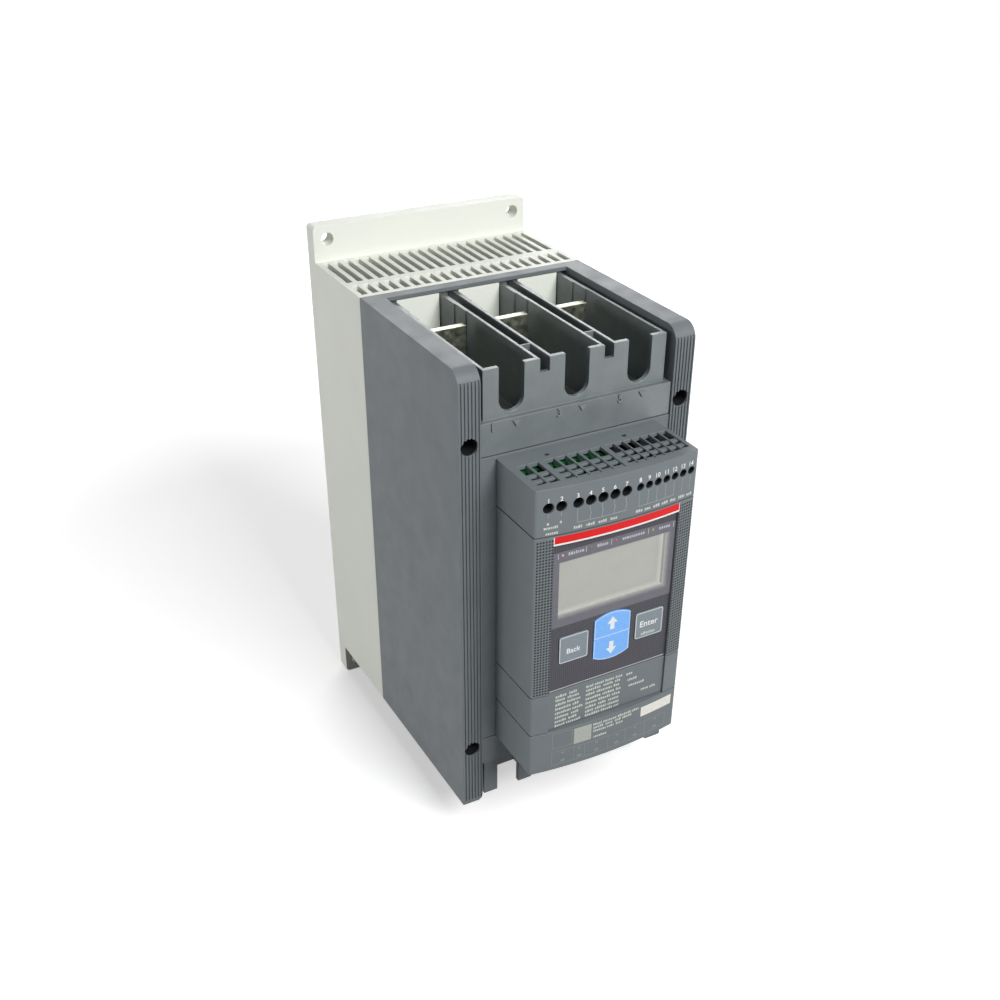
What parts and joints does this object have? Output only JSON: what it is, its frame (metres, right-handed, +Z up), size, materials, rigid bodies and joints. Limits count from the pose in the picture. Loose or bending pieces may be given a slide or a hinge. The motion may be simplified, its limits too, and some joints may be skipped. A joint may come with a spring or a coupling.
{
  "type": "soft starter",
  "caption": "Panel-mounted motor soft starter: vented rear housing, grey cover with power terminal cells at top and bottom, and a control unit with display, keys and wire terminals.",
  "frame": {"origin": "centre of the four fixing holes on the flange's wall side", "axes": "+X to the right seen from the front, -Y out of the front, +Z up towards the line terminals"},
  "size_m": [0.13, 0.2207, 0.295],
  "materials": {
    "white_plastic": "fine moulded texture",
    "grey_plastic": "fine moulded texture",
    "control_plastic": "fine moulded texture",
    "black_plastic": "satin",
    "green_plastic": "satin",
    "circuit_board": "solder mask",
    "aluminium": "extruded",
    "tinned_copper": "tin plated",
    "steel": "zinc plated",
    "overlay_film": "printed film",
    "clear_window": "clear",
    "display": "liquid crystal",
    "light_pipe": "clear",
    "grey_key": "printed film",
    "blue_key": "printed film"
  },
  "bodies": {
    "housing": {"rear_housing": "white_plastic", "heat_sink": "aluminium", "fan_frame_left": "black_plastic", "fan_frame_right": "black_plastic", "front_cover": "grey_plastic", "cover_screws": "steel", "line_terminal_insert": "grey_plastic", "load_terminal_insert": "grey_plastic", "line_bar_1": "tinned_copper", "line_bar_2": "tinned_copper", "line_bar_3": "tinned_copper", "load_bar_1": "tinned_copper", "load_bar_2": "tinned_copper", "load_bar_3": "tinned_copper", "bar_screws": "steel", "thyristor_module_1": "black_plastic", "thyristor_module_2": "black_plastic", "thyristor_module_3": "black_plastic", "module_screws": "steel", "bypass_relay_1": "black_plastic", "bypass_relay_2": "black_plastic", "bypass_relay_3": "black_plastic", "current_transformer_1": "black_plastic", "current_transformer_2": "black_plastic", "current_transformer_3": "black_plastic", "power_board": "circuit_board", "terminal_cover": "control_plastic", "panel_housing": "control_plastic", "label_band": "control_plastic", "lower_cover": "control_plastic", "control_board": "circuit_board", "supply_terminals": "green_plastic", "relay_terminals": "green_plastic", "signal_terminals": "black_plastic", "terminal_screws": "steel", "keypad_overlay": "overlay_film", "display_window": "clear_window", "display_module": "display", "keypad_board": "circuit_board", "status_lights": "light_pipe"},
    "fan_rotor_left": {"fan_rotor_left": "black_plastic"},
    "fan_rotor_right": {"fan_rotor_right": "black_plastic"},
    "exit_key": {"exit_key": "grey_key"},
    "up_key": {"up_key": "blue_key"},
    "down_key": {"down_key": "blue_key"},
    "select_key": {"select_key": "grey_key"}
  },
  "joints": [
    {"name": "fan_left_spin", "type": "hinge", "parent": "housing", "child": "fan_rotor_left", "pos_m": [-0.02757, -0.036, -0.118], "axis": [0, 0, 1], "continuous": true},
    {"name": "fan_right_spin", "type": "hinge", "parent": "housing", "child": "fan_rotor_right", "pos_m": [0.02757, -0.036, -0.118], "axis": [0, 0, 1], "continuous": true},
    {"name": "exit_key_press", "type": "slide", "parent": "housing", "child": "exit_key", "axis": [0, 1, 0], "range_m": [0, 0.0005], "stiffness_N_per_m": 1500, "springref_m": -0.0005},
    {"name": "up_key_press", "type": "slide", "parent": "housing", "child": "up_key", "axis": [0, 1, 0], "range_m": [0, 0.0005], "stiffness_N_per_m": 1500, "springref_m": -0.0005},
    {"name": "down_key_press", "type": "slide", "parent": "housing", "child": "down_key", "axis": [0, 1, 0], "range_m": [0, 0.0005], "stiffness_N_per_m": 1500, "springref_m": -0.0005},
    {"name": "select_key_press", "type": "slide", "parent": "housing", "child": "select_key", "axis": [0, 1, 0], "range_m": [0, 0.0005], "stiffness_N_per_m": 1500, "springref_m": -0.0005}
  ]
}
